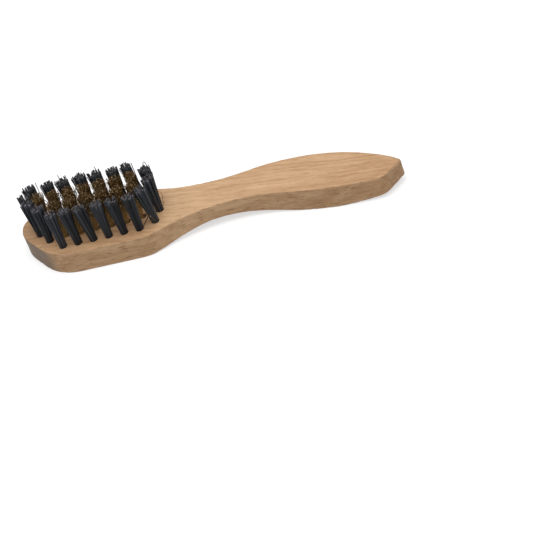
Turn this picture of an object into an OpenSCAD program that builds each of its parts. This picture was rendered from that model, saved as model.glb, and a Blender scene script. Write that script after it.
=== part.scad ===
// Suede brush: a shaped beech board with tufts stapled into drilled blind holes.
// A closed ring of black nylon tufts stands round two rows of crimped brass wire tufts.
// The brush lies on its back with the bristles up. X runs from the nose to the handle tip,
// and the origin is on the back, at the middle of the length and of the head's width.

/* [Handle board] */
// Length of the board from the nose to the handle tip
board_len = 170; // [142:1:205]
// Thickness of the head and of the grip
board_t = 10.5; // [8.5:0.1:13]
// Thickness where the neck is thinnest
neck_t = 7; // [5.5:0.1:8.5]
// Thickness at the handle tip
tip_t = 7.5; // [6:0.1:8.5]
// How much the back lifts towards the nose
nose_lift = 0.6; // [0:0.1:1.2]
// Radius of the softened edges all round
edge_r = 0.8; // [0.3:0.1:1.2]

/* [Outline of the head] */
// Width of the head
head_w = 36; // [30:0.5:43]
// Length from the nose to the near shoulder
head_len = 59; // [56:0.5:70]
// Far shoulder, as a distance back from the near one
far_shoulder_back = 6.5; // [3:0.5:10]
// Radius of the tight far corner of the nose
nose_far_r = 9; // [6:0.5:10]
// Length along the nose that is square to the board, before it slants away
nose_flat = 15; // [12:0.5:18]
// Length of the slanted side of the nose, measured along the board
nose_slant = 16.5; // [12:0.5:20]
// Radius where the nose's slant starts
slant_start_r = 16.5; // [10:0.5:20]
// Radius where the slant runs into the near side
slant_end_r = 21; // [12:0.5:25]
// Radius of the far shoulder
far_shoulder_r = 42; // [20:1:50]
// Radius of the near shoulder
near_shoulder_r = 15; // [8:1:20]

/* [Outline of the handle] */
// Where the neck's far tangents meet, past the near shoulder
neck_far_x = 22; // [18:0.5:26]
// The same point, across from the middle
neck_far_y = 9.3; // [7.5:0.1:11]
// Where the neck's near tangents meet, past the near shoulder
neck_near_x = 29.4; // [26:0.1:32]
// The same point, across from the middle
neck_near_y = -1.1; // [-3:0.1:1]
// Radius of the hollow on the neck's far side
neck_far_r = 78; // [50:1:90]
// Radius of the hollow on the neck's near side
neck_near_r = 70; // [50:1:90]
// Where the grip's far tangents meet, back from the tip
grip_far_x = 37.2; // [34:0.1:40]
// The same point, across from the middle
grip_far_y = 20.7; // [18:0.1:22]
// Where the grip's near tangents meet, back from the tip
grip_near_x = 31.6; // [28:0.1:34]
// The same point, across from the middle
grip_near_y = -13.4; // [-15:0.1:-12]
// Radius of the grip's far bulge
grip_far_r = 76; // [60:1:90]
// Radius of the grip's near bulge
grip_near_r = 120; // [90:1:140]
// Near corner of the slanted end cut, back from the tip
cut_x = 9.2; // [7:0.1:12]
// The same point, across from the middle
cut_y = -14.1; // [-15:0.1:-12]
// Handle tip, across from the middle of the head
tip_y = -3.3; // [-6:0.1:-1]
// Radius of the cut corner
cut_r = 6; // [3:0.5:8]
// Radius of the tip
tip_r = 2; // [1.5:0.5:4]

/* [Tuft holes] */
// Diameter of the drilled holes
hole_d = 3.5; // [2.9:0.05:4.2]
// Wood left under the holes
wood_floor = 4; // [3.2:0.1:5]
// Angle of the drill's point
drill_angle = 140; // [118:1:160]
// Distance from the head's edge to the middle of the outer tufts
edge_gap = 6.35; // [5:0.05:7.6]

/* [Tuft layout] */
// Near nylon row: from the nose to its first tuft
near_row_x = 21.2; // [20.5:0.1:22.5]
// Near nylon row: pitch of its tufts
near_row_pitch = 6.9; // [6.1:0.1:7]
// Near nylon row: number of tufts
near_row_count = 6; // [4:1:6]
// Far nylon row: from the nose to its first tuft
far_row_x = 10.3; // [10:0.1:11.5]
// Far nylon row: pitch of its tufts
far_row_pitch = 7.4; // [6.1:0.1:7.5]
// Far nylon row: number of tufts
far_row_count = 7; // [4:1:7]
// Near brass row: from the nose to its first tuft
brass_near_x = 21.4; // [20.5:0.1:22]
// Near brass row: pitch of its tufts
brass_near_pitch = 7; // [6.6:0.1:7.1]
// Near brass row: number of tufts
brass_near_count = 6; // [4:1:6]
// Far brass row: from the nose to its first tuft
brass_far_x = 13.3; // [13:0.1:14.5]
// Far brass row: pitch of its tufts
brass_far_pitch = 7; // [6.6:0.1:7.1]
// Far brass row: number of tufts
brass_far_count = 7; // [4:1:7]
// Sideways step of the last tuft in each brass row
brass_end_step = 1.2; // [0:0.1:1.5]

/* [Bristles] */
// Height of the nylon bristles above the board
nylon_h = 17.5; // [14:0.5:22]
// Height of the brass bristles above the board
brass_h = 17; // [14:0.5:22]
// Width over the tips of a nylon tuft
nylon_top_d = 5.4; // [4.5:0.1:6]
// Width over the tips of a brass tuft
brass_top_d = 6.2; // [4.5:0.1:6.4]
// Gap round a nylon root in its hole
nylon_root_gap = 0.05; // [0.02:0.01:0.2]
// Gap round a brass root in its hole
brass_root_gap = 0.15; // [0.02:0.01:0.25]
// Height of the solid part of a tuft above the board
collar_h = 2.5; // [1:0.1:5]
// Strands in the inner circle of each tuft
inner_strands = 5; // [3:1:6]
// Strands in the outer circle of each tuft
outer_strands = 9; // [6:1:10]
// Width of a strand, measured over its corners
strand_w = 0.56; // [0.3:0.02:0.62]
// Unevenness of the tips, up and down
tip_uneven = 0.6; // [0:0.1:1.5]
// Sideways throw of the brass crimp
crimp = 0.22; // [0:0.02:0.3]

/* [Staples] */
// Diameter of the staple wire
wire_d = 0.7; // [0.5:0.05:0.85]
// Gap between a staple's legs and the wall of its hole
staple_side_gap = 0.1; // [0.05:0.05:0.2]
// Inner bend radius of a staple's corners
staple_bend = 0.25; // [0.15:0.05:0.4]
// How deep the legs bite into the wood under the hole
leg_bite = 1.6; // [1:0.1:2]
// Length of the pointed end of a leg
leg_point = 0.5; // [0.3:0.1:0.8]
// Gap between a staple and the bundle folded under it
wire_gap = 0.04; // [0.02:0.01:0.1]
// Gap between a leg and the wood
bite_gap = 0.02; // [0:0.01:0.05]

/* [Hidden] */
// Smoothness of round holes, wires and roots
$fn = 32;
// Small overlap that makes cuts run clean through
eps = 0.05;

// Corners of the sawn outline as [x from the nose, y, radius], anticlockwise from the far nose corner
tip_x = board_len;
corners = [
    [0, head_w / 2, nose_far_r],
    [0, head_w / 2 - nose_flat, slant_start_r],
    [nose_slant, -head_w / 2, slant_end_r],
    [head_len, -head_w / 2, near_shoulder_r],
    [head_len + neck_near_x, neck_near_y, neck_near_r],
    [tip_x - grip_near_x, grip_near_y, grip_near_r],
    [tip_x - cut_x, cut_y, cut_r],
    [tip_x, tip_y, tip_r],
    [tip_x - grip_far_x, grip_far_y, grip_far_r],
    [head_len + neck_far_x, neck_far_y, neck_far_r],
    [head_len - far_shoulder_back, head_w / 2, far_shoulder_r]
];
n_corners = len(corners);
// Which of the corners is the handle tip
tip_corner = 7;
// Length of one chord on a rounded corner
chord = 1;

// Corner i of the outline, counted round and round
function corner_xy(i) = let (c = corners[(i + n_corners) % n_corners]) [c[0], c[1]];
function unit(v) = v / norm(v);
function cross_z(a, b) = a[0] * b[1] - a[1] * b[0];
// Direction and length of the side that leaves corner i
function side(i) = corner_xy(i + 1) - corner_xy(i);
// Angle turned at corner i, positive to the left
function turn(i) = atan2(cross_z(side(i - 1), side(i)), side(i - 1) * side(i));
// Length that corner i's full radius takes from each of its sides
function tangent(i) = corners[(i + n_corners) % n_corners][2] * tan(abs(turn(i)) / 2);
// Share of its radius that fits between the neighbours' tangents
function fit_share(i) = min(1, norm(side(i - 1)) / (tangent(i - 1) + tangent(i)),
    norm(side(i)) / (tangent(i) + tangent(i + 1)));
// Points of the arc that rounds corner i
function corner_arc(i) =
    let (
        r = corners[i][2] * fit_share(i),
        a = turn(i),
        before = unit(side(i - 1)),
        inward = sign(a) * [-before[1], before[0]],
        centre = corner_xy(i) - before * r * tan(abs(a) / 2) + inward * r,
        start = atan2(-inward[1], -inward[0]),
        n = max(4, ceil(r * abs(a) * PI / 180 / chord))
    )
    [for (k = [0 : n]) centre + r * [cos(start + a * k / n), sin(start + a * k / n)]];

raw_outline = [for (i = [0 : n_corners - 1]) each corner_arc(i)];
raw_max_x = max([for (p = raw_outline) p[0]]);
raw_tip_y = [for (p = raw_outline) if (p[0] == raw_max_x) p[1]][0];
raw_tip_arc = corner_arc(tip_corner);
// Rounding the tip shortens it a little, so the outline is drawn out to its full length
stretch = board_len / raw_max_x;
function drawn_out(p) = [p[0] * stretch, p[1]];
// The two sides of the outline, each from the nose to the tip
near_side = [
    for (i = [1 : tip_corner - 1]) for (p = corner_arc(i)) drawn_out(p),
    for (p = raw_tip_arc) if (p[1] <= raw_tip_y) drawn_out(p)
];
far_side_back = [
    for (p = raw_tip_arc) if (p[1] >= raw_tip_y) drawn_out(p),
    for (i = [tip_corner + 1 : n_corners - 1]) for (p = corner_arc(i)) drawn_out(p),
    for (p = corner_arc(0)) drawn_out(p)
];
nose_y = (near_side[0][1] + far_side_back[len(far_side_back) - 1][1]) / 2;

// Stations along the board, close together where the outline turns
nose_zone = nose_slant + 9;
head_end_zone = head_len - 12;
tip_zone = 14;
nose_steps = 15;
head_steps = 4;
handle_step = 2.7;
tip_steps = 14;
handle_steps = ceil((board_len - tip_zone - head_end_zone) / handle_step);
stations = [
    for (k = [1 : nose_steps]) nose_zone * (1 - cos(90 * k / nose_steps)),
    for (k = [1 : head_steps]) nose_zone + (head_end_zone - nose_zone) * k / head_steps,
    for (k = [1 : handle_steps]) head_end_zone + (board_len - tip_zone - head_end_zone) * k / handle_steps,
    for (k = [1 : tip_steps - 1]) board_len - tip_zone * (1 - sin(90 * k / tip_steps))
];
n_stations = len(stations);
// One closed loop round the board: nose, near side, tip, far side
loop = [
    [0, nose_y],
    for (x = stations) [x, lookup(x, near_side)],
    [board_len, raw_tip_y],
    for (k = [n_stations - 1 : -1 : 0]) [stations[k], lookup(stations[k], far_side_back)]
];
n_loop = len(loop);
loop_inward = [
    for (i = [0 : n_loop - 1])
        let (t = unit(loop[(i + 1) % n_loop] - loop[(i + n_loop - 1) % n_loop])) [-t[1], t[0]]
];

// Side view of the back: flat under the head, hollow at the neck, down again at the grip,
// and lifting to the tip
head_flat_end = head_len - 5;
neck_low_x = head_len + neck_near_x;
grip_rest_start = board_len - 40;
grip_rest_end = board_len - 32;
nose_lift_len = 18;
lift_power = 1.6;
function swing(t) = (1 - cos(180 * t)) / 2;
function back_z(x) =
    x < nose_lift_len ? nose_lift * pow((nose_lift_len - max(x, 0)) / nose_lift_len, lift_power)
    : x < head_flat_end ? 0
    : x < neck_low_x ? (board_t - neck_t) * swing((x - head_flat_end) / (neck_low_x - head_flat_end))
    : x < grip_rest_start ? (board_t - neck_t) * swing((grip_rest_start - x) / (grip_rest_start - neck_low_x))
    : x < grip_rest_end ? 0
    : (board_t - tip_t) * pow((x - grip_rest_end) / (board_len - grip_rest_end), lift_power);

// The board's skin: loops from the back face to the bristle face, with both edges rounded
edge_steps = 3;
function skin_loop(angle, top) = [
    for (i = [0 : n_loop - 1])
        let (
            p = loop[i] + loop_inward[i] * edge_r * (1 - sin(angle)),
            dz = edge_r * (1 - cos(angle))
        )
        [p[0], p[1], top ? board_t - dz : back_z(p[0]) + dz]
];
skin = [
    for (k = [0 : edge_steps]) skin_loop(90 * k / edge_steps, false),
    for (k = [edge_steps : -1 : 0]) skin_loop(90 * k / edge_steps, true)
];
function wall_faces(n, rows) = [
    for (r = [0 : rows - 2]) for (i = [0 : n - 1])
        let (a = r * n + i, b = r * n + (i + 1) % n)
        each [[a, a + n, b + n], [a, b + n, b]]
];
// Cross strips between the near and far sides, from the nose to the tip
cap_strips = [
    [0, 1, n_loop - 1],
    for (k = [1 : n_stations - 1])
        each [[k, k + 1, n_loop - k - 1], [k, n_loop - k - 1, n_loop - k]],
    [n_stations, n_stations + 1, n_stations + 2]
];
top_start = (len(skin) - 1) * n_loop;
skin_faces = [
    each cap_strips,
    each wall_faces(n_loop, len(skin)),
    for (f = cap_strips) [f[2] + top_start, f[1] + top_start, f[0] + top_start]
];

// Tuft places as [x from the nose, y]. The rows share the head's width evenly
outer_y = head_w / 2 - edge_gap;
brass_y = outer_y / 3;
// Near and far tufts at the nose end of the ring: x, and y as a share of the outer rows' distance
nose_near_tuft = [14.5, -0.47];
nose_far_tuft = [7.5, 0.52];
// The tuft between them keeps its distance from the far brass row and from the nose end's far tuft
to_brass_row = 5.11;
to_nose_far_tuft = 5.94;
// Tufts at the neck end: x past the end of the longest row, and y as at the nose end
neck_end_tufts = [[6.1, -0.72], [7.6, -0.08], [5.1, 0.56]];

// Place at distances ra from a and rb from b, on the left of the way from a to b
function place_between(a, b, ra, rb) =
    let (
        d = norm(b - a),
        along = (ra * ra - rb * rb + d * d) / (2 * d),
        across = sqrt(ra * ra - along * along),
        u = unit(b - a)
    )
    a + along * u + across * [-u[1], u[0]];
// Places of one row, the last of them stepped sideways
function tuft_row(first, pitch, count, y, end_step = 0) = [
    for (k = [0 : count - 1]) [first + pitch * k, y + (k == count - 1 ? end_step : 0)]
];

near_row = tuft_row(near_row_x, near_row_pitch, near_row_count, -outer_y);
far_row = tuft_row(far_row_x, far_row_pitch, far_row_count, outer_y);
brass_near_row = tuft_row(brass_near_x, brass_near_pitch, brass_near_count, -brass_y, brass_end_step);
brass_far_row = tuft_row(brass_far_x, brass_far_pitch, brass_far_count, brass_y, brass_end_step);
rows_end = max([for (p = concat(near_row, far_row, brass_near_row, brass_far_row)) p[0]]);
nose_far_place = [nose_far_tuft[0], nose_far_tuft[1] * outer_y];
nylon_places = [
    each near_row,
    for (p = neck_end_tufts) [rows_end + p[0], p[1] * outer_y],
    for (k = [far_row_count - 1 : -1 : 0]) far_row[k],
    nose_far_place,
    place_between(brass_far_row[0], nose_far_place, to_brass_row, to_nose_far_tuft),
    [nose_near_tuft[0], nose_near_tuft[1] * outer_y]
];
brass_places = concat(brass_near_row, brass_far_row);

// Staple: its crown lies across the board, over the fold of the bundle
wire_r = wire_d / 2;
leg_y = hole_d / 2 - staple_side_gap - wire_r;
bend_r = staple_bend + wire_r;
nylon_root_r = hole_d / 2 - nylon_root_gap;
brass_root_r = hole_d / 2 - brass_root_gap;
crown_z = wood_floor + nylon_root_r;
leg_end_z = wood_floor - leg_bite;
drill_cone_h = hole_d / 2 / tan(drill_angle / 2);
// A folded bundle is a little rounder than it is wide
fold_extra = 0.1;
strand_sides = 3;
// Circles of strand roots, as shares of the root's radius
strand_circles = [0.36, 0.8];
// Turn between the inner and outer circle of strands
circle_twist = 18;
// Share of the spread that is straight, the rest bows outwards
straight_share = 0.7;
// Random tip heights come out the same each time
tip_seed = 41;

function tuft_name(kind, i) = str(kind, "_tuft_", i < 9 ? "0" : "", i + 1);

// Moves a child from the nose's frame to the brush's own, at one tuft's place
module at_tuft(p) {
    translate([p[0] - board_len / 2, p[1], 0]) children();
}

module leg(r) {
    translate([0, 0, leg_end_z + leg_point]) cylinder(r = r, h = crown_z - bend_r - leg_end_z - leg_point);
    translate([0, 0, leg_end_z]) cylinder(r1 = r / 4, r2 = r, h = leg_point);
}

module staple_half(r) {
    translate([0, leg_y, 0]) leg(r);
    translate([0, leg_y - bend_r, crown_z - bend_r]) rotate([90, 0, 90])
        rotate_extrude(angle = 90) translate([bend_r, 0]) circle(r = r);
}

// One staple of wire radius r. A larger r gives the channel that it needs
module staple(r) {
    staple_half(r);
    mirror([0, 1, 0]) staple_half(r);
    translate([0, 0, crown_z]) rotate([90, 0, 0])
        cylinder(r = r, h = 2 * (leg_y - bend_r), center = true);
}

module tuft_hole() {
    translate([0, 0, wood_floor]) cylinder(d = hole_d, h = board_t - wood_floor + 1);
    translate([0, 0, wood_floor - drill_cone_h]) cylinder(r1 = 0, r2 = hole_d / 2, h = drill_cone_h);
    for (s = [-1, 1]) translate([0, s * leg_y, 0]) leg(wire_r + bite_gap);
}

module handle_board() {
    color("burlywood") difference() {
        translate([-board_len / 2, 0, 0])
            polyhedron(points = [for (l = skin) each l], faces = skin_faces, convexity = 6);
        for (p = concat(nylon_places, brass_places)) at_tuft(p) tuft_hole();
    }
}

// The part of a bundle that fills its hole: folded round the staple's crown, with a
// channel for the staple, and a short solid collar above the board
module bundle_root(root_r, collar_r) {
    difference() {
        union() {
            intersection() {
                translate([0, 0, crown_z - root_r]) cylinder(r = root_r, h = board_t - crown_z + root_r);
                union() {
                    translate([0, 0, crown_z]) rotate([90, 0, 0])
                        cylinder(r = root_r + fold_extra, h = hole_d * 2, center = true);
                    translate([-hole_d, -hole_d, crown_z]) cube([2 * hole_d, 2 * hole_d, board_t]);
                }
            }
            translate([0, 0, board_t]) cylinder(r1 = root_r, r2 = collar_r, h = collar_h);
        }
        staple(wire_r + wire_gap);
    }
}

// Where a strand is at height share t: its foot spreads out to its tip, with a crimp
function strand_centre(foot, spread, h, t, wave) =
    let (grow = 1 + (spread - 1) * (straight_share * t + (1 - straight_share) * t * t))
    [foot[0] * grow + wave, foot[1] * grow, board_t + eps + h * t];

// One strand of three sides through the given centres, all its faces triangles
module strand(centres, turned) {
    k = strand_sides;
    rows = len(centres);
    last = (rows - 1) * k;
    polyhedron(
        points = [
            for (c = centres) for (j = [0 : k - 1])
                let (a = turned + 360 * j / k)
                c + strand_w / 2 * [cos(a), sin(a), 0]
        ],
        faces = [[0, 1, 2], each wall_faces(k, rows), [last + 2, last + 1, last]]
    );
}

// Two circles of strands that fan out from a root without crossing
module strands(root_r, top_r, h, waves, seed) {
    spread = (top_r - strand_w / 2) / (root_r * strand_circles[1]);
    rows = len(waves) - 1;
    for (c = [0 : 1]) {
        n = [inner_strands, outer_strands][c];
        heights = rands(-tip_uneven, tip_uneven, n, tip_seed + 2 * seed + c);
        for (i = [0 : n - 1]) {
            a = 360 * i / n + c * circle_twist;
            foot = root_r * strand_circles[c] * [cos(a), sin(a)];
            strand([
                for (k = [0 : rows]) strand_centre(foot, spread, h + heights[i], k / rows, waves[k] * crimp)
            ], a);
        }
    }
}

function collar_radius(root_r, top_r) = root_r + (top_r - root_r) * collar_h / nylon_h;

module nylon_tuft(i) {
    color([0.13, 0.13, 0.16]) at_tuft(nylon_places[i]) {
        bundle_root(nylon_root_r, collar_radius(nylon_root_r, nylon_top_d / 2));
        strands(nylon_root_r, nylon_top_d / 2, nylon_h, [0, 0, 0], i);
    }
}

module brass_tuft(i) {
    color([0.52, 0.38, 0.18]) at_tuft(brass_places[i]) {
        bundle_root(brass_root_r, collar_radius(brass_root_r, brass_top_d / 2));
        strands(brass_root_r, brass_top_d / 2, brass_h, [0, 1, -1, 1], len(nylon_places) + i);
    }
}

module nylon_tuft_staples() {
    color("silver") for (p = nylon_places) at_tuft(p) staple(wire_r);
}

module brass_tuft_staples() {
    color("silver") for (p = brass_places) at_tuft(p) staple(wire_r);
}

handle_board();
for (i = [0 : len(nylon_places) - 1])
    nylon_tuft(i);
for (i = [0 : len(brass_places) - 1])
    brass_tuft(i);
nylon_tuft_staples();
brass_tuft_staples();
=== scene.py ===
import math

import bpy
import numpy as np
from bpy.props import FloatProperty, FloatVectorProperty, IntProperty, PointerProperty
from mathutils import Matrix, Vector


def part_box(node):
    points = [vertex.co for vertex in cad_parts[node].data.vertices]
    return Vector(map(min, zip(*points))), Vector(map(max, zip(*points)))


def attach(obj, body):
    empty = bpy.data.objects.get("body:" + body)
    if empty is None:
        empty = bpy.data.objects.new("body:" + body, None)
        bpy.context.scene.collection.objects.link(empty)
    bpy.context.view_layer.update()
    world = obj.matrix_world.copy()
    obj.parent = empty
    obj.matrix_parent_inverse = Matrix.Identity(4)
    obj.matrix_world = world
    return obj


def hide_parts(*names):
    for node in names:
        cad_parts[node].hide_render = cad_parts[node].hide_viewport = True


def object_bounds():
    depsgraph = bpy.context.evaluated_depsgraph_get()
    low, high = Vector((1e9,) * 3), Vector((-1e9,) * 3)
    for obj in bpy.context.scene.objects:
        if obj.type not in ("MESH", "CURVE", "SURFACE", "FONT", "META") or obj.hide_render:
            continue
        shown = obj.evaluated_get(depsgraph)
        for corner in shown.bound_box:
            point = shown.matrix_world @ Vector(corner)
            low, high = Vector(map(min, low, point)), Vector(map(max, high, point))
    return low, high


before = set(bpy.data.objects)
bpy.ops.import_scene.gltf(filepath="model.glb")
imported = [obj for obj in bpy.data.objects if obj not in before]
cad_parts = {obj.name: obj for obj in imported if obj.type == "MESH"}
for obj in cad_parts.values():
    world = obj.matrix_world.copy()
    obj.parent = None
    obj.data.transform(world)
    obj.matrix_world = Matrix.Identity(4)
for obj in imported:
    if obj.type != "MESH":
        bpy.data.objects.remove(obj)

bl_info = {
    "name": "Suede brush",
    "version": (1, 0, 0),
    "blender": (4, 5, 0),
    "location": "View3D > Sidebar > Brush",
    "description": "A beech brush with nylon and crimped brass tufts stapled into drilled holes",
    "category": "Add Mesh",
}

BODY = "root"
MM = 0.001
CAD_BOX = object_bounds()
BOARD_NODE = "handle_board"
NYLON_NODES = sorted(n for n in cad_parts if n.startswith("nylon_tuft_") and n[-1].isdigit())
BRASS_NODES = sorted(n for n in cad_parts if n.startswith("brass_tuft_") and n[-1].isdigit())
STAPLE_NODES = ["nylon_tuft_staples", "brass_tuft_staples"]

# Nylon tufts, counted round the ring from the near row: how far the tips lean along the board, in mm, how far
# the outer lock leans away from the rest, in mm, the share of the set width that the tips have, and how
# strong the painted highlights on the filaments are, as a share of the strongest
NYLON_LEAN = (0, -0.8, -1.4, 0, -0.8, 0, -1.2, 0, 0.2, -1.75, -0.5, -0.8, -0.5, -0.9, -0.5, -1.2, 0, 0, 0)
NYLON_LOCK = (0, 0, 0, 0, 0, 0, 0, 0, 0, 0, 0.3, 0.95, 0.8, 0.5, 0.2, 0.5, 0, 0, 0)
NYLON_SPREAD = (1, 1, 1, 1, 1, 1, 1, 1, 1, 0.92, 0.92, 1, 1, 1, 1, 1, 1, 1, 1)
NYLON_TONE = (1, 1, 1, 1, 1, 1, 1, 1, 0.78, 0.72, 0.72, 0.72, 0.72, 0.72, 0.72, 0.8, 0.9, 1, 1)

# Brass tufts, near row and then far row: the share of the set width that the tips have, and how far the wires
# crowd to one side of their hole, in mm
BRASS_SPREAD = (1, 1, 1, 1, 1, 0.78, 1, 1, 1, 1, 1, 0.95, 0.72)
BRASS_CROWD = (0.25, 0.25, 0.25, 0.25, 0.3, 0.6, 0.25, 0.25, 0.25, 0.25, 0.25, 0.25, 0.3)

# How many sides a filament, a wire and a loose hair have, and a loose hair's share of the others' thickness
FILAMENT_SIDES, WIRE_SIDES, LOOSE_SIDES = 5, 3, 5
LOOSE_SHARE = 1 / 1.2

# Loose hairs that left their tufts, each as the tuft that holds it and its points in mm:
# x and y from the middle of the tuft, and the height above the board
LOOSE_WIRES = (
    ("brass_tuft_06", ((0.3, -0.3, -1), (0.6, -1, 2), (1.4, -3, 5), (3, -5.3, 6), (4.7, -7.5, 5.4),
                       (6, -8.3, 3.9), (7.3, -8.1, 1))),
    ("nylon_tuft_09", ((1.1, 0, -1), (1.3, 0, 0.4), (1.9, 0, 3.2), (3, 0, 4.3), (3.7, -0.2, 3.3),
                       (3.7, -0.8, 1.4), (3.6, -2.6, 0.3), (4.6, -6.5, 0.2))),
)
LOOSE_FILAMENTS = (
    ("nylon_tuft_06", ((1, -0.2, -1), (1.2, -0.2, 0), (2.4, -0.3, 1.6), (4.5, -0.3, 4.2), (9.1, 0, 10.3))),
    ("nylon_tuft_12", ((0, 1.2, -1), (0, 1.3, 0.5), (0.2, 2, 6), (0.3, 3, 12), (-1.3, 4.9, 17.8))),
    ("nylon_tuft_14", ((-0.6, 1.2, -1), (-0.7, 1.3, 0.5), (-1.1, 2.2, 7), (-2, 3.4, 13), (-3.2, 4.6, 17.9))),
    ("nylon_tuft_14", ((0.6, 1.1, -1), (0.7, 1.2, 0.5), (1, 1.6, 7), (0.9, 2.4, 13), (0.3, 3.4, 17.9))),
    ("nylon_tuft_16", ((1.1, 0.6, -1), (1.2, 0.6, 0.5), (1.6, 1, 7), (1.9, 1.7, 13), (1.6, 2.7, 17.9))),
    ("nylon_tuft_10", ((-1.1, 0, -1), (-1.2, 0, 1), (-2.2, -0.4, 7), (-3.3, -1.1, 13), (-4.1, -1.9, 17.6))),
    ("nylon_tuft_09", ((1.2, 0.6, -1), (1.3, 0.6, 1), (1.9, 0.9, 8), (2.6, 1.2, 13), (2.6, 1.5, 17.9))),
    ("nylon_tuft_09", ((0, 1.1, -1), (0, 1.2, 1), (-0.3, 2.4, 9), (-0.5, 3.8, 16.4), (0.5, 4.3, 17.9),
                       (1.8, 1.4, 17.6))),
    ("nylon_tuft_09", ((-1.2, 0, -1), (-1.3, 0, 1), (-2.4, -0.5, 6), (-3.3, -1, 11), (-3.7, -1.2, 14.5))),
    ("nylon_tuft_03", ((1, 1, -1), (1, 1.1, 1), (1.2, 1.6, 7), (1.5, 2.4, 13), (1, 4, 17.9))),
)


def srgb(r, g, b):
    """A colour of 0 to 255 as seen on a screen, as the linear colour that shaders use."""
    seen = np.array([r, g, b]) / 255
    linear = np.where(seen <= 0.04045, seen / 12.92, ((seen + 0.055) / 1.055) ** 2.4)
    return tuple(float(x) for x in linear)


def scaled(linear, factor):
    """A linear colour made darker or lighter by a factor."""
    return tuple(factor * c for c in linear)


def colour(name, description, default):
    return FloatVectorProperty(
        name=name, description=description, subtype="COLOR", size=3, min=0, max=1, default=default
    )


def length(name, description, default):
    return FloatProperty(
        name=name, description=description, subtype="DISTANCE", unit="LENGTH", default=default, min=0
    )


def share(name, description, default):
    return FloatProperty(name=name, description=description, subtype="FACTOR", default=default, min=0, max=1)


def angle(name, description, degrees):
    return FloatProperty(name=name, description=description, subtype="ANGLE", default=math.radians(degrees))


class BoardSettings(bpy.types.PropertyGroup):
    arris_radius: length("Arris radius", "Radius of the sanded edges", 0.42 * MM)
    arris_wear: share("Arris wear", "How unevenly the edges are sanded", 0.3)
    tip_wear: length("Tip wear", "Extra rounding of the upper edge at the handle tip", 0.9 * MM)
    nick_depth: length("Nick depth", "Depth of the small nicks along the edges", 0.3 * MM)
    rim_fuzz: length("Rim fuzz", "Raggedness of the drilled rims", 0.05 * MM)
    ring_spacing: length("Ring spacing", "Distance between two growth rings", 3.1 * MM)
    grain_angle: angle("Grain angle", "Turn of the fibres away from the board's length", 10.5)
    light_wood: colour("Light wood", "Colour of the early wood", srgb(213, 176, 137))
    dark_wood: colour("Dark wood", "Colour of the late wood", srgb(166, 123, 84))
    fleck: colour("Flecks", "Colour of the short ray flecks", srgb(122, 79, 48))
    # The end grain colour is the wood's own across the grain, darkened as painted shade for the nose
    end_grain: colour("End grain", "Colour of the wood across the grain", srgb(130, 114, 98))


class NylonSettings(bpy.types.PropertyGroup):
    filament: length("Filament", "Diameter of one filament", 0.39 * MM)
    count: IntProperty(name="Ends", description="Filament ends in a tuft", default=84, min=20)
    tip_width: length("Tip width", "Width over the tips of a tuft", 5.6 * MM)
    tip_drop: length("Tip drop", "How far the tips lie below the CAD tufts' tops on average", 0.55 * MM)
    scatter: length("Scatter", "How far tips stray sideways", 0.14 * MM)
    raggedness: length("Raggedness", "How uneven the cut tips are", 0.15 * MM)
    locks: IntProperty(name="Locks", description="Locks that a tuft's filaments cling in", default=21, min=2)
    lock_step: length("Lock step", "How uneven the locks of a tuft are in height", 0.28 * MM)
    cling: share("Cling", "How far the tips are drawn together in their lock", 0.3)
    stray_share: share("Strays", "Share of filaments that stand out of the tuft", 0.03)
    filament_colour: colour("Filament colour", "Dyed nylon", srgb(44, 47, 52))
    # The cut end colour is a painted highlight on the cut ends
    lit_cut_colour: colour("Cut end colour", "Pale cut ends", srgb(132, 124, 127))


class BrassSettings(bpy.types.PropertyGroup):
    wire: length("Wire", "Diameter of one wire", 0.28 * MM)
    count: IntProperty(name="Ends", description="Wire ends in a tuft", default=112, min=20)
    tip_width: length("Tip width", "Width over the tips of a tuft", 6.3 * MM)
    tip_drop: length("Tip drop", "How far the tips lie below the CAD tufts' tops on average", 0.5 * MM)
    scatter: length("Scatter", "How far tips stray sideways", 0.35 * MM)
    raggedness: length("Raggedness", "How uneven the cut tips are", 0.75 * MM)
    crimp_pitch: length("Crimp pitch", "Length of one wave of the crimp", 2.5 * MM)
    crimp_throw: length("Crimp throw", "Sideways throw of the crimp", 0.2 * MM)
    # The dim and plain brass colours are painted shade and light on the crimp's stretches
    dim_stretch_colour: colour("Dull wire", "Tarnished brass", srgb(72, 53, 25))
    wire_colour: colour("Wire", "Plain brass", srgb(138, 102, 46))
    # The root colour is painted light on the wires near the board
    lit_root_colour: colour("Root", "Cleaner brass near the board", srgb(216, 180, 116))
    # The glint colour is a painted highlight on a few stretches of the crimp
    glint_colour: colour("Glint", "Rubbed stretches of the crimp", srgb(254, 222, 172))


class StageSettings(bpy.types.PropertyGroup):
    aim: FloatVectorProperty(
        name="Aim", description="Where the camera looks", subtype="TRANSLATION", unit="LENGTH", size=3,
        default=(28.08 * MM, -57.35 * MM, 10.5 * MM),
    )
    distance: length("Distance", "From the aim to the camera", 888.5 * MM)
    azimuth: angle("Azimuth", "Turn of the camera round the brush", 14.01)
    elevation: angle("Elevation", "Camera's angle above the floor", 35.55)
    roll: angle("Roll", "Tilt of the picture", -20.69)
    focal_length: FloatProperty(name="Focal length", description="In millimetres", default=149.07)
    sky: FloatProperty(name="Sky", description="Strength of the even light", default=0.42)
    key: FloatProperty(name="Key", description="Power of the large lamp, in watts", default=1.95)
    fill: FloatProperty(name="Fill", description="Power of the small lamp, in watts", default=0.6)
    floor: colour("Floor", "Colour of the floor", srgb(174, 174, 174))


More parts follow.
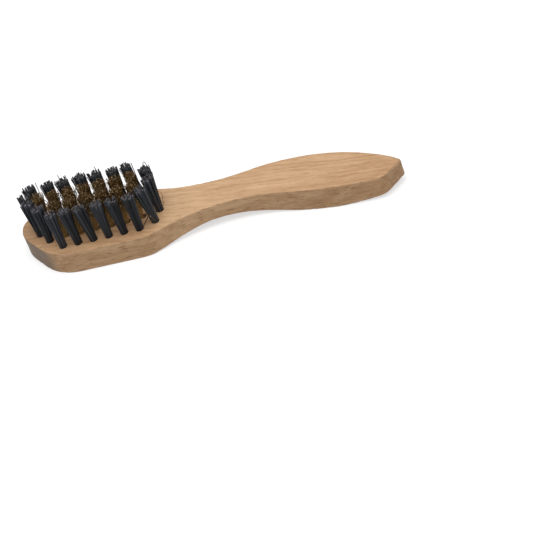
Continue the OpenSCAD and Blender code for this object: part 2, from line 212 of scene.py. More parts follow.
class Shader:
    """One material's nodes. Each call of add makes a node and returns one of its outputs."""

    def __init__(self, name):
        self.material = bpy.data.materials.new(name)
        self.material.use_nodes = True
        self.tree = self.material.node_tree
        self.tree.nodes.clear()

    def add(self, kind, inputs=None, output=0, **settings):
        """A node of this kind. An input is another node's output, which is linked, or a constant."""
        node = self.tree.nodes.new("ShaderNode" + kind)
        for key, value in settings.items():
            setattr(node, key, value)
        for key, value in (inputs or {}).items():
            if isinstance(value, bpy.types.NodeSocket):
                self.tree.links.new(value, node.inputs[key])
            else:
                node.inputs[key].default_value = value
        return node.outputs[output] if node.outputs else node

    def math(self, operation, *values):
        return self.add("Math", dict(enumerate(values)), operation=operation)

    def vector(self, operation, *values):
        return self.add("VectorMath", dict(enumerate(values)), operation=operation)

    def size(self, vector):
        return self.add("VectorMath", {0: vector}, output="Value", operation="LENGTH")

    def place(self, x, y, z):
        """The object's own coordinates, in metres, times three factors."""
        return self.vector("MULTIPLY", self.add("TexCoord", output="Object"), (x, y, z))

    def swing(self, value, weight):
        """A value between 0 and 1 made to swing round zero, times weight."""
        return self.math("MULTIPLY", self.math("SUBTRACT", value, 0.5), weight)

    def ramp(self, value, low, high, out_low=0.0, out_high=1.0):
        """value from low to high, smoothly carried to out_low and out_high, and held outside them."""
        inputs = {"Value": value, "From Min": low, "From Max": high, "To Min": out_low, "To Max": out_high}
        return self.add("MapRange", inputs, interpolation_type="SMOOTHSTEP")

    def noise(self, vector, scale=1.0, detail=2.0, roughness=0.5, output="Fac"):
        inputs = {"Vector": vector, "Scale": scale, "Detail": detail, "Roughness": roughness}
        return self.add("TexNoise", inputs, output=output)

    def stretched(self, vector, along, across, **settings):
        """Noise on a vector in mm, with features 1/along mm long and 1/across mm wide."""
        return self.noise(self.vector("MULTIPLY", vector, (along, across, across)), **settings)

    def mix(self, factor, a, b):
        """Colour a turned into colour b by factor."""
        a, b = (c if isinstance(c, bpy.types.NodeSocket) else (*c, 1.0) for c in (a, b))
        return self.add("Mix", {0: factor, 6: a, 7: b}, output=2, data_type="RGBA")

    def strand(self, part):
        """Of the map named strand: X, a random number for each strand, or Y, the share of its length."""
        return self.add("SeparateXYZ", {"Vector": self.add("UVMap", uv_map="strand")}, output=part)

    def bump(self, height, distance):
        return self.add("Bump", {"Height": height, "Distance": distance, "Strength": 1.0})

    def surface(self, inputs):
        """Ends the material in a principled shader with these inputs."""
        shader = self.add("BsdfPrincipled", inputs)
        self.add("OutputMaterial", {"Surface": shader})
        return self.material


def add_object(name, data):
    """A new object at the scene's origin."""
    thing = bpy.data.objects.new(name, data)
    bpy.context.scene.collection.objects.link(thing)
    return thing


def add_mesh(name, points, faces):
    """A new mesh object at the scene's origin. faces is a list of arrays, each of faces of one size."""
    mesh = bpy.data.meshes.new(name)
    mesh.from_pydata(points.reshape(-1, 3), [], [row for group in faces for row in group.tolist()])
    mesh.update()
    return add_object(name, mesh)


def new_piece(name, points, faces, materials, replaced=None):
    """A smooth mesh object that rides on the brush, in place of a CAD node where one is named."""
    piece = add_mesh(name, points, faces)
    mesh = piece.data
    mesh.shade_smooth()
    for material in materials:
        mesh.materials.append(material)
    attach(piece, BODY)
    if replaced:
        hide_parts(replaced)
    return piece


def node_points(node):
    """The node's vertices as an array, in metres."""
    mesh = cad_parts[node].data
    points = np.empty(len(mesh.vertices) * 3, np.float32)
    mesh.vertices.foreach_get("co", points)
    return points.reshape(-1, 3).astype(float)


def bell(offset, width):
    """The bell curve exp(-(offset / width)^2 / 2)."""
    return np.exp(-0.5 * (offset / width) ** 2)


def smooth_closed(points, step, width):
    """A closed polyline resampled at even steps and averaged with a bell of the given width."""
    closed = np.vstack([points, points[:1]])
    along = np.concatenate([[0], np.cumsum(np.linalg.norm(np.diff(closed, axis=0), axis=1))])
    even = np.linspace(0, along[-1], int(along[-1] / step), endpoint=False)
    dense = np.stack([np.interp(even, along, closed[:, k]) for k in range(points.shape[1])], 1)
    weights = bell(np.minimum(even, along[-1] - even), width)
    weights /= weights.sum()
    return np.fft.ifft(np.fft.fft(dense, axis=0) * np.fft.fft(weights)[:, None], axis=0).real


class BoardShape:
    """The board as its CAD solid has it: y of both sides and z of the back against x, and its holes."""

    # Points this near to a plane or a wall lie on it
    touch = 0.01 * MM

    def __init__(self):
        self.points = node_points(BOARD_NODE)
        self.low, self.high = self.points.min(0), self.points.max(0)
        self.face_z = self.high[2]
        tip = self.points[self.points[:, 0] > self.high[0] - self.touch]
        wall_top = tip[:, 2].max()
        ring = self.points[np.abs(self.points[:, 2] - wall_top) < self.touch]
        ring = np.unique(ring[:, :2].round(6), axis=0)
        self.read_outline(ring)
        self.read_back(ring, wall_top)
        self.read_holes()

    def read_outline(self, ring):
        """Both sides, from the points round the top of the wall, in turn about a point that sees them all."""
        inner_y, step, smoothing = 1 * MM, 0.1 * MM, 0.9 * MM
        ring = ring[np.argsort(np.arctan2(ring[:, 1] - inner_y, ring[:, 0]))]
        outline = smooth_closed(ring, step, smoothing)
        outline = np.roll(outline, -int(outline[:, 0].argmin()), axis=0)
        turn = int(outline[:, 0].argmax())
        self.nose, self.tip = outline[0], outline[turn]
        self.near_side = outline[: turn + 1]
        self.far_side = np.vstack([outline[turn:], outline[:1]])[::-1]

    def read_back(self, ring, wall_top):
        """The back's height against x. The wall's lowest points lie one edge radius above the back."""
        edge = self.face_z - wall_top
        low_wall = self.points[(self.points[:, 2] < wall_top - MM) & (self.points[:, 2] > edge / 2)]
        gap = np.linalg.norm(low_wall[:, None, :2] - ring[None], axis=2).min(1)
        low_wall = low_wall[gap < self.touch]
        low_wall = low_wall[np.argsort(low_wall[:, 0])]
        self.back_x, first = np.unique(low_wall[:, 0].round(5), return_index=True)
        self.back_height = low_wall[first, 2] - edge

    def read_holes(self):
        """The radius and the floor of the holes. They are alike, so one of them gives both."""
        search = 2.6 * MM
        reach = np.linalg.norm(self.points[:, :2] - self.hole_centre(NYLON_NODES[0]), axis=1)
        rim = (self.points[:, 2] > self.face_z - self.touch) & (reach < search)
        self.hole_radius = float(np.median(reach[rim]))
        wall = np.abs(reach - self.hole_radius) < self.touch
        self.hole_floor = float(self.points[wall, 2].min())

    def hole_centre(self, tuft):
        """Middle of the part of a tuft that lies below the bristle face, seen from above."""
        points = node_points(tuft)
        below = 0.2 * MM
        low = points[points[:, 2] < self.face_z - below]
        return (low.min(0)[:2] + low.max(0)[:2]) / 2

    def near(self, x):
        return np.interp(x, self.near_side[:, 0], self.near_side[:, 1])

    def far(self, x):
        return np.interp(x, self.far_side[:, 0], self.far_side[:, 1])

    def back(self, x):
        """The back's height, averaged over 3 mm so that its chords don't show."""
        offsets = np.linspace(-1.5, 1.5, 13)[:, None] * MM
        return np.interp(x + offsets, self.back_x, self.back_height).mean(0)


def ripple(along, total, seed, waves):
    """Smooth closed noise along a loop: a sum of cosines with random phases, between about -1 and 1."""
    rng = np.random.default_rng(seed)
    turns = np.arange(1, waves + 1)
    phases = rng.uniform(0, 2 * np.pi, waves)
    weights = rng.uniform(0.3, 1, waves) / np.sqrt(waves)
    angles = 2 * np.pi * along[:, None] / total * turns + phases
    gain = 1.6
    return (weights * np.cos(angles)).sum(1) * gain


def grid_faces(rows, columns):
    """Quads between neighbouring closed rows of a grid, facing out for rows that climb anticlockwise."""
    r = np.arange(rows - 1)[:, None]
    c = np.arange(columns)[None]
    n = (c + 1) % columns
    quads = np.stack([r * columns + c, r * columns + n, (r + 1) * columns + n, (r + 1) * columns + c], -1)
    return quads.reshape(-1, 4)


def board_loop(shape):
    """Points round the board: nose, near side, tip, far side, close together where the outline turns."""
    nose_zone, tip_zone, step = 26 * MM, 15 * MM, 0.75 * MM
    nose_count, tip_count = 45, 32
    x0, x1 = shape.nose[0], shape.tip[0]
    nose_part = x0 + nose_zone * (1 - np.cos(np.linspace(0, np.pi / 2, nose_count + 1)[1:]))
    middle = np.linspace(x0 + nose_zone, x1 - tip_zone, int((x1 - x0 - nose_zone - tip_zone) / step))[1:]
    tip_part = x1 - tip_zone * (1 - np.sin(np.linspace(0, np.pi / 2, tip_count + 2)[1:-1]))
    stations = np.concatenate([nose_part, middle, tip_part])
    near = np.stack([stations, shape.near(stations)], 1)
    far = np.stack([stations, shape.far(stations)], 1)[::-1]
    return np.vstack([shape.nose, near, shape.tip, far])


def board_mesh(shape, settings):
    """The board's skin: a profile carried round the outline, closed by strips across both faces.

    The profile goes from the back face, round a quarter circle, up the wall, and round another quarter
    circle to the bristle face. The quarter circles' radius wanders a little and grows at small nicks.
    """
    loop = board_loop(shape)
    n = len(loop)
    tangent = np.roll(loop, -1, 0) - np.roll(loop, 1, 0)
    tangent /= np.linalg.norm(tangent, axis=1, keepdims=True)
    inward = np.stack([-tangent[:, 1], tangent[:, 0]], 1)
    steps = np.linalg.norm(np.roll(loop, -1, 0) - loop, axis=1)
    along = np.concatenate([[0], np.cumsum(steps)[:-1]])
    total = steps.sum()

    def edge_radius(seed):
        rng = np.random.default_rng(seed)
        slow = ripple(along, total, seed, waves=24)
        quick = ripple(along, total, seed + 1, waves=160)
        wander = 1 + settings.arris_wear * (0.6 * slow + 0.4 * quick)
        nick_count = 60
        places = rng.uniform(0, total, nick_count)
        depths = settings.nick_depth * rng.uniform(0.1, 1, nick_count) ** 2
        widths = rng.uniform(0.35, 1.1, nick_count) * MM
        nicks = (depths * bell(along[:, None] - places, widths)).sum(1)
        return settings.arris_radius * wander + nicks

    rows = []

    def add_row(inset, height):
        rows.append(np.column_stack([loop + inward * inset[:, None], height]))

    quarter = np.linspace(0, np.pi / 2, 6)
    flat_margin, worn_length, dent = 0.5 * MM, 2.5 * MM, 0.035 * MM
    tip_wear = settings.tip_wear * bell(loop[:, 0] - shape.high[0], worn_length)
    low_r, high_r = edge_radius(seed=5), edge_radius(seed=9) + tip_wear
    add_row(low_r + flat_margin, shape.back(loop[:, 0] + inward[:, 0] * (low_r + flat_margin)))
    for a in quarter:
        inset = low_r * (1 - math.sin(a))
        add_row(inset, shape.back(loop[:, 0] + inward[:, 0] * inset) + low_r * (1 - math.cos(a)))
    wall_low, wall_high = shape.back(loop[:, 0]) + low_r, shape.face_z - high_r
    for k, height_share in enumerate((0.2, 0.4, 0.6, 0.8)):
        waviness = np.maximum(dent * (1 + ripple(along, total, seed=20 + k, waves=60)), 0)
        add_row(waviness, wall_low + (wall_high - wall_low) * height_share)
    for a in quarter[::-1]:
        add_row(high_r * (1 - math.sin(a)), shape.face_z - high_r * (1 - math.cos(a)))
    add_row(high_r + flat_margin, np.full(n, shape.face_z))
    points = np.stack(rows)
    points[..., :2] = np.clip(points[..., :2], shape.low[:2], shape.high[:2])

    k = np.arange(1, n // 2 - 1)
    strips = np.stack([k, k + 1, n - k - 1, n - k], 1)
    ends = np.array([[0, 1, n - 1], [n // 2 - 1, n // 2, n // 2 + 1]])
    top = (len(rows) - 1) * n
    faces = [grid_faces(len(rows), n), strips[:, ::-1], ends[:, ::-1], strips + top, ends + top]
    return points.reshape(-1, 3), faces


def drill_mesh(centres, shape, fuzz):
    """Drills that cut the holes: a cone, a cylinder and a slightly ragged rim, revolved at each centre."""
    sides, half_point, above_face = 48, math.radians(70), 1 * MM
    rng = np.random.default_rng(3)
    cone = shape.hole_radius / math.tan(half_point)
    top_z = shape.face_z + above_face
    wall_z, rim_low_z, rim_high_z = shape.hole_floor + 3 * MM, top_z - 1.4 * MM, top_z - 1.1 * MM
    heights = np.array([shape.hole_floor, wall_z, rim_low_z, rim_high_z, top_z])
    fuzz_share = np.array([0, 0, 0.2, 1, 1])[None, :, None]
    reach = shape.hole_radius + fuzz_share * fuzz * rng.uniform(0, 1, (len(centres), 1, sides))
    c = np.arange(sides)
    turn = 2 * np.pi * c / sides
    x = centres[:, 0, None, None] + reach * np.cos(turn)
    y = centres[:, 1, None, None] + reach * np.sin(turn)
    shafts = np.stack([x, y, np.broadcast_to(heights[None, :, None], x.shape)], -1)
    points, faces = [], []
    wall = grid_faces(len(heights), sides)
    base = 0
    for centre, shaft in zip(centres, shafts):
        top = base + (len(heights) - 1) * sides
        poles = base + len(heights) * sides
        points += [shaft.reshape(-1, 3), [[*centre, shape.hole_floor - cone], [*centre, top_z]]]
        faces += [wall + base, np.stack([np.full(sides, poles), base + (c + 1) % sides, base + c], 1),
                  np.stack([np.full(sides, poles + 1), top + c, top + (c + 1) % sides], 1)]
        base = poles + 2
    return np.vstack(points), faces


def growth_rings(s, grain, spacing):
    """The dark late wood of rings round a pith that lies well to one side of the board."""
    pith = (0, -95, -38)
    across = s.vector("MULTIPLY", s.vector("SUBTRACT", grain, pith), (0, 1, 1))
    ring = s.math("DIVIDE", s.size(across), spacing / MM)
    waver = s.math("MULTIPLY", s.stretched(grain, 0.012, 0.25, detail=1), 2.2)
    ring = s.math("FRACT", s.math("ADD", ring, waver))
    return s.math("MULTIPLY", s.ramp(ring, 0.15, 0.85), s.ramp(ring, 1.0, 0.88))


def ray_flecks(s, grain, on_wall, facing_x):
    """Long thin cells, of which only some are dark, stronger on the walls than on the faces and the ends."""
    flecks = 0.0
    for along, width, share_low in ((0.15, 1.0, 0.55), (0.3, 1.6, 0.75)):
        cell = s.vector("MULTIPLY", s.vector("ADD", grain, (3, 5, 7)), (along, width, width))
        cells = s.add("TexVoronoi", {"Vector": cell, "Scale": 1.0}).node
        chance = s.add("SeparateColor", {"Color": cells.outputs["Color"]})
        chosen = s.ramp(chance, share_low, share_low + 0.15)
        spindle = s.ramp(cells.outputs["Distance"], 0.32, 0.2)
        flecks = s.math("MAXIMUM", flecks, s.math("MULTIPLY", chosen, spindle))
    flecks = s.math("MULTIPLY", flecks, s.ramp(on_wall, 0, 1, 0.35, 0.75))
    return s.math("MULTIPLY", flecks, s.ramp(s.math("ABSOLUTE", facing_x), 0.3, 0.65, 1.0, 0.25))


def beech(settings):
    """Planed beech: growth rings, long fibres, short ray flecks, and end grain at the nose and the tip."""
    s = Shader("beech")
    normal = s.add("TexCoord", output="Normal")
    facing_x = s.add("SeparateXYZ", {"Vector": normal}, output="X")
    facing_z = s.add("SeparateXYZ", {"Vector": normal}, output="Z")
    on_wall = s.ramp(s.math("ABSOLUTE", facing_z), 0.95, 0.5)

    # The place in mm, the same turned along the fibres of the faces, and that moved by the fibres' slow sway
    place = s.place(1000, 1000, 1000)
    turn = s.math("MULTIPLY", s.math("SUBTRACT", 1.0, on_wall), settings.grain_angle)
    mm = s.add("Mapping", {"Vector": place, "Rotation": s.add("CombineXYZ", {"Z": turn})})
    sway = s.vector("SUBTRACT", s.stretched(mm, 0.025, 0.06, detail=2, output="Color"), (0.5, 0.5, 0.5))
    grain = s.vector("ADD", mm, s.vector("MULTIPLY", sway, (0, 4.5, 4.5)))

    long_fibre = s.stretched(grain, 0.03, 0.5, detail=2, roughness=0.55)
    dash = s.stretched(grain, 0.11, 0.95, detail=2, roughness=0.6)
    short_fibre = s.stretched(grain, 0.3, 2.4, detail=3, roughness=0.6)
    fine_fibre = s.stretched(grain, 0.7, 8, detail=2, roughness=0.6)
    patch = s.stretched(mm, 0.03, 0.06, detail=1)
    layers = ((long_fibre, 0.8), (dash, 0.85), (short_fibre, 0.85), (fine_fibre, 0.55), (patch, 0.4))
    tone = s.math("MULTIPLY", growth_rings(s, grain, settings.ring_spacing), 0.2)
    for layer, weight in layers:
        tone = s.math("ADD", tone, s.swing(layer, weight))

    # Painted shade: the wood is darker toward the tip, where the light falls off, and on the head, as a
    # painted shadow of the tufts, more on its faces than on its walls
    along_board = s.add("SeparateXYZ", {"Vector": place}, output="X")
    painted_falloff_shade = s.ramp(along_board, -25, 75, 0.2, 0.4)
    painted_tuft_shadow = s.math("MULTIPLY", s.ramp(along_board, -15, -30), s.ramp(on_wall, 0, 1, 0.24, 0.08))
    tone = s.math("ADD", tone, s.math("ADD", painted_falloff_shade, painted_tuft_shadow))
    wood = s.mix(s.add("Clamp", {"Value": tone}), settings.light_wood, settings.dark_wood)
    flecks = ray_flecks(s, grain, on_wall, facing_x)
    wood = s.mix(s.math("MULTIPLY", flecks, 0.75), wood, settings.fleck)

    # Short dark dashes where the edge of the bristle face is chipped
    arris = s.math("MULTIPLY", s.ramp(facing_z, 0.1, 0.3), s.ramp(facing_z, 0.97, 0.85))
    chips = s.ramp(s.noise(mm, scale=0.4, detail=2), 0.56, 0.64, 0.0, 0.6)
    wood = s.mix(s.math("MULTIPLY", arris, chips), wood, settings.fleck)

    # Across the grain the wood is greyer, with fine pores; the nose takes far more of it than the tip, as
    # painted shade
    pores = s.ramp(s.noise(mm, scale=3.2, detail=2), 0.42, 0.62, 0.0, 0.4)
    end_grain_and_shade = s.mix(pores, settings.end_grain, settings.fleck)
    at_nose, at_tip = s.ramp(facing_x, -0.4, -0.8, 0.0, 0.92), s.ramp(facing_x, 0.5, 0.95, 0.0, 0.2)
    wood = s.mix(s.math("ADD", at_nose, at_tip), wood, end_grain_and_shade)

    relief = s.math("ADD", s.math("MULTIPLY", short_fibre, 0.6), s.math("MULTIPLY", fine_fibre, 0.5))
    relief = s.math("SUBTRACT", relief, s.math("MULTIPLY", flecks, 0.5))
    return s.surface({
        "Base Color": wood, "Roughness": s.ramp(long_fibre, 0.3, 0.7, 0.52, 0.66),
        "Specular IOR Level": 0.35, "Normal": s.bump(relief, 0.045 * MM),
    })


def nylon(settings):
    """Dyed nylon filament: nearly black with a soft gloss; a few filaments in a tuft are painted paler and
    streaked, as painted highlights.
    """
    s = Shader("black_nylon")
    # Painted highlights: pale filaments, and streaks along them, stand in for gloss that catches the light
    streak = s.noise(s.place(1600, 1600, 150), detail=1)
    painted_highlight = s.math("POWER", s.strand("X"), 2.0)
    shade = s.math("ADD", painted_highlight, s.swing(streak, 0.3))
    dark, light = scaled(settings.filament_colour, 0.3), scaled(settings.filament_colour, 3.3)
    return s.surface({
        "Base Color": s.mix(s.add("Clamp", {"Value": shade}), dark, light),
        "Roughness": s.ramp(s.strand("X"), 0, 1, 0.6, 0.45), "Specular IOR Level": 0.3,
    })


def nylon_end(settings):
    """The cut ends of the filaments: some with a painted highlight, torn by noise, some as dark as the
    shafts.
    """
    s = Shader("nylon_cut_end")
    torn = s.noise(s.place(2200, 2200, 2200), detail=2)
    dark = scaled(settings.lit_cut_colour, 0.12)
    # Painted highlight on the cut ends, as if they caught the light from above
    painted_highlight = s.math("ADD", s.strand("X"), s.swing(torn, 1.2))
    return s.surface({
        "Base Color": s.mix(s.ramp(painted_highlight, 0.3, 0.7), dark, settings.lit_cut_colour), "Roughness": 0.7,
        "Specular IOR Level": 0.3, "Normal": s.bump(torn, 0.03 * MM),
    })


def brass(settings):
    """Crimped brass wire: each short stretch of it has its own tone, as painted light and shade of its crimp
    facet, and a few of them get painted glints.
    """
    s = Shader("brass_wire")
    patch = s.noise(s.place(700, 700, 300), detail=2)
    stretches = 28
    stretch = s.math("FLOOR", s.math("MULTIPLY", s.strand("Y"), stretches))
    chance_at = s.add("CombineXYZ", {"X": s.math("MULTIPLY", s.strand("X"), 1000), "Y": stretch})
    chance = s.add("TexWhiteNoise", {"Vector": chance_at})
    # Each stretch's tone, from dim to plain brass, is painted light and shade of its facet, with a random
    # patch in it
    tone = s.math("MULTIPLY", s.math("ADD", chance, s.math("SUBTRACT", patch, 0.5)), 0.7)
    wire = s.mix(s.add("Clamp", {"Value": tone}), settings.dim_stretch_colour, settings.wire_colour)
    # Painted light: the wires near the board are made lighter, as if lit there
    near_root = s.ramp(s.strand("Y"), 0.3, 0.72, 0.9, 0.0)
    near_tip = s.ramp(s.strand("Y"), 0.3, 0.6, 0.2, 1.0)
    painted_root_light = s.math("MULTIPLY", near_root, s.ramp(chance, 0.0, 0.7, 0.45, 1.0))
    wire = s.mix(painted_root_light, wire, settings.lit_root_colour)
    # Painted highlight: a few stretches towards the tips take the glint colour
    painted_glint = s.math("MULTIPLY", s.ramp(chance, 0.88, 0.91), near_tip)
    return s.surface({
        "Base Color": s.mix(painted_glint, wire, settings.glint_colour), "Metallic": 0.25,
        "Roughness": s.ramp(patch, 0.3, 0.7, 0.3, 0.5),
    })


def steel():
    """Drawn steel wire of the staples, faintly streaked along its length."""
    s = Shader("staple_wire")
    streak = s.noise(s.place(4000, 700, 700), detail=3)
    return s.surface({
        "Base Color": s.mix(streak, srgb(120, 118, 114), srgb(178, 176, 170)), "Metallic": 1.0,
        "Roughness": s.ramp(streak, 0.3, 0.7, 0.28, 0.5), "Normal": s.bump(streak, 0.01 * MM),
    })


def disc_spots(count, radius, rng):
    """Points spread evenly over a disc on a sunflower spiral, each moved a little at random.

    Point k of n, with k from 0.5 up in ones, lies at radius * sqrt(k / n), a turn of k golden angles round,
    each pi * (3 - sqrt(5)).
    """
    jitter = 0.035
    k = np.arange(count) + 0.5
    reach = radius * np.sqrt(k / count)
    turn = k * math.pi * (3 - math.sqrt(5)) + rng.uniform(0, 2 * np.pi)
    spots = np.stack([reach * np.cos(turn), reach * np.sin(turn)], 1)
    return spots + rng.normal(0, radius * jitter, spots.shape)


def spread_tips(feet, mouth, settings, width_share, rng):
    """The feet's disc drawn out to a share of the tips' width, each tip a little off its place."""
    unevenness = 0.05
    half_width = settings.tip_width * width_share / 2
    widened = half_width / mouth * rng.normal(1, unevenness, (len(feet), 1))
    return feet * widened + rng.normal(0, settings.scatter, feet.shape)


def fold_paths(feet, shape):
    """From under the staple's crown to the mouth of the hole.

    A strand at distance d from the crown starts at a depth d below it, makes a quarter turn about it at that
    distance, and climbs to its foot.
    """
    clear, narrowing, crown_drop = 0.5 * MM, 0.75, 0.05 * MM
    crown_z = shape.hole_floor + shape.hole_radius - crown_drop
    side = np.where(feet[:, :1] >= 0, 1.0, -1.0)
    d = clear + np.abs(feet[:, :1]) * (1 - clear / np.abs(feet[:, :1]).max())
    across = feet[:, 1:] * narrowing
    eighth = math.sqrt(0.5)
    zero = np.zeros_like(d)
    return np.stack([
        np.hstack([zero, across, crown_z - d]),
        np.hstack([side * d * eighth, across, crown_z - d * eighth]),
        np.hstack([side * d, across, zero + crown_z]),
        np.hstack([feet, zero + shape.face_z]),
    ], 1)


def fan(feet, tips, height, shares, bow):
    """Strands from feet to tips, bowed outwards: at a share t of its height, each has gone
    (1 - bow) * t + bow * t^2 of its way from foot to tip in plan.

    shares holds t for each point of a strand, in one row for all the strands or one for each.
    """
    t = np.broadcast_to(shares, (len(feet), shares.shape[-1]))[..., None]
    plan = feet[:, None] + (tips - feet)[:, None] * ((1 - bow) * t + bow * t * t)
    return np.concatenate([plan, height[:, None, None] * t], 2)


def strand_mesh(paths, radius, sides):
    """Tubes of a few sides along paths of equal length, closed at both ends.

    Each ring lies square to its path: its axes come from the path's direction and the Y axis.
    Returns points, wall faces, end faces at the top, end faces at the bottom.
    """
    strands, rings = paths.shape[:2]
    direction = np.gradient(paths, axis=1)
    direction /= np.linalg.norm(direction, axis=2, keepdims=True)
    second = np.array([0, 1.0, 0]) - direction * direction[..., 1:2]
    second /= np.linalg.norm(second, axis=2, keepdims=True)
    first = np.cross(second, direction)
    turn = 2 * np.pi * np.arange(sides) / sides
    ring = np.cos(turn)[:, None] * first[..., None, :] + np.sin(turn)[:, None] * second[..., None, :]
    points = paths[:, :, None] + radius * ring
    starts = np.arange(strands)[:, None, None] * rings * sides
    wall = (grid_faces(rings, sides)[None] + starts).reshape(-1, 4)
    end = np.arange(sides)[None] + starts[:, 0]
    return points, wall, end + (rings - 1) * sides, end[:, ::-1]


def bristle_piece(name, paths, numbers, radius, sides, materials, replaced=None):
    """A piece of many strands. Its cut ends are flat, and have the second material where there is one.

    The map named strand gives the materials each strand's number, from 0 to 1, and the share of its length.
    """
    strands, rings = paths.shape[:2]
    points, wall, cut_ends, roots = strand_mesh(paths, radius, sides)
    piece = new_piece(name, points, [wall, cut_ends, roots], materials, replaced)
    mesh = piece.data
    indices = np.zeros(len(mesh.polygons), np.int32)
    indices[len(wall): len(wall) + len(cut_ends)] = len(materials) - 1
    mesh.polygons.foreach_set("material_index", indices)
    mesh.polygons.foreach_set("use_smooth", np.arange(len(mesh.polygons)) < len(wall))
    u = np.repeat(numbers, rings * sides)
    v = np.tile(np.repeat(np.linspace(0, 1, rings), sides), strands)
    corners = np.empty(len(mesh.loops), np.int32)
    mesh.loops.foreach_get("vertex_index", corners)
    layer = mesh.uv_layers.new(name="strand")
    layer.data.foreach_set("uv", np.stack([u[corners], v[corners]], 1).astype(np.float32).ravel())
    return piece


def curve_through(points, count):
    """A Catmull-Rom curve through the points, taken at even steps of its parameter."""
    padded = np.vstack([2 * points[0] - points[1], points, 2 * points[-1] - points[-2]])
    t = np.linspace(0, len(points) - 1, count)
    k = np.minimum(t.astype(int), len(points) - 2)
    u = (t - k)[:, None]
    a, b, c, d = (padded[k + i] for i in range(4))
    return 0.5 * (2 * b + (c - a) * u + (2 * a - 5 * b + 4 * c - d) * u**2 + (3 * b - a - 3 * c + d) * u**3)


def tuft_height(nodes, face_z):
    """Mean height of these CAD tufts above the board."""
    return float(np.mean([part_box(n)[1].z for n in nodes])) - face_z


def ragged_heights(mean, settings, thickness, shape, rng, count):
    """Heights of the tips: ragged, but never over the CAD model's top."""
    lowest, highest = -1.3 * MM, 1 * MM
    heights = mean + np.clip(rng.normal(0, settings.raggedness, count), lowest, highest)
    return np.minimum(heights, CAD_BOX[1].z - thickness - shape.face_z)


def gather(tips, locks, cling, rng):
    """Tips drawn towards the nearest of a few of them, and the number of the lock that each one clings in."""
    middles = tips[rng.choice(len(tips), locks, replace=False)]
    lock = np.linalg.norm(tips[:, None] - middles, axis=2).argmin(1)
    return tips + cling * (middles[lock] - tips), lock


def nylon_paths(shape, settings, centre, width_share, lean, lock_lean, mean, rng):
    """One nylon tuft: its filaments' paths and shades. Its outer lock may lean away from the rest."""
    wall_gap, outer_share, sway, own_part = 0.02 * MM, 0.72, 0.12 * MM, 0.78
    mouth = shape.hole_radius - wall_gap - settings.filament / 2
    feet = disc_spots(settings.count, mouth, rng)
    tips = spread_tips(feet, mouth, settings, width_share, rng)
    tips, lock = gather(tips, settings.locks, settings.cling, rng)
    own_shades, lock_shades = (rng.permutation(n) / n for n in (len(feet), settings.locks))
    shades = own_part * own_shades + (1 - own_part) * lock_shades[lock]
    stray = rng.uniform(size=(len(feet), 1)) < settings.stray_share
    tips += stray * (feet / mouth * rng.uniform(0.3, 1.1, (len(feet), 1)) * MM)
    outer = feet[:, 0] < -outer_share * mouth
    tips[outer, 0] -= lock_lean * rng.uniform(0.85, 1.1, outer.sum())
    tips += rng.normal(0, sway, 2) + np.array([lean, 0])
    steps = rng.normal(0, settings.lock_step, settings.locks)[lock]
    heights = ragged_heights(mean + steps, settings, settings.filament / 2, shape, rng, len(feet))
    shaft = fan(feet, tips, heights, np.array([0.3, 0.55, 0.8, 1.0]), bow=0.05)
    shaft[..., 2] += shape.face_z
    paths = np.concatenate([fold_paths(feet, shape), shaft], 1)
    paths[..., :2] += centre
    return paths, shades


def brass_paths(shape, settings, centre, width_share, crowding, mean, rng):
    """One brass tuft: each wire zigzags between two lines, with its bends half a crimp apart."""
    wall_gap, least_step = 0.1 * MM, 0.05 * MM
    mouth = shape.hole_radius - wall_gap - crowding - settings.wire / 2
    feet = disc_spots(settings.count, mouth, rng)
    tips = spread_tips(feet, mouth, settings, width_share, rng)
    feet[:, 0] -= crowding
    heights = ragged_heights(mean, settings, settings.wire, shape, rng, len(feet))
    bends = int(heights.max() / (settings.crimp_pitch / 2)) + 2
    phase = rng.uniform(0.2, 0.8, (len(feet), 1))
    rise = np.clip((np.arange(1, bends + 1) - phase) * settings.crimp_pitch / 2, 0, heights[:, None])
    rise = np.minimum(rise, heights[:, None] - (bends - np.arange(1, bends + 1)) * least_step)
    shaft = fan(feet, tips, heights, rise / heights[:, None], bow=0.25)
    way = rng.uniform(0, 2 * np.pi, (len(feet), 1))
    throw = settings.crimp_throw * rng.uniform(0.6, 1.3, (len(feet), 1)) * np.minimum(rise / MM, 1)
    throw = throw * np.where(np.arange(bends) % 2, 1, -1)
    shaft[..., 0] += throw * np.cos(way)
    shaft[..., 1] += throw * np.sin(way)
    shaft[..., 2] += shape.face_z
    paths = np.concatenate([fold_paths(feet, shape), shaft], 1)
    paths[..., :2] += centre
    return paths


def hair_paths(shape, hairs):
    """Paths of loose hairs through their listed points."""
    count = 24
    curves = []
    for tuft, points in hairs:
        foot = np.array([*shape.hole_centre(tuft), shape.face_z])
        curves.append(curve_through(np.array(points) * MM, count) + foot)
    return np.stack(curves)


class BRUSH_OT_beech_board(bpy.types.Operator):
    """The handle board of beech with its drilled holes, in place of the CAD board"""

    bl_idname = "brush.beech_board"
    bl_label = "Beech board"

    def execute(self, context):
        settings = context.scene.brush_board
        shape = BoardShape()
        points, faces = board_mesh(shape, settings)
        board = new_piece("beech_board", points, faces, [beech(settings)], BOARD_NODE)
        centres = np.array([shape.hole_centre(n) for n in NYLON_NODES + BRASS_NODES])
        drills = add_mesh("drills", *drill_mesh(centres, shape, settings.rim_fuzz))
        cut = board.modifiers.new("holes", "BOOLEAN")
        cut.object = drills
        cut.operation = "DIFFERENCE"
        cut.solver = "EXACT"
        drilled = bpy.data.meshes.new_from_object(board.evaluated_get(context.evaluated_depsgraph_get()))
        if len(drilled.polygons) <= len(board.data.polygons):
            raise RuntimeError("the holes were not cut")
        board.modifiers.clear()
        board.data = drilled
        board.data.shade_smooth()
        sharp_angle = math.radians(38)
        board.data.set_sharp_from_angle(angle=sharp_angle)
        bpy.data.objects.remove(drills)
        return {"FINISHED"}


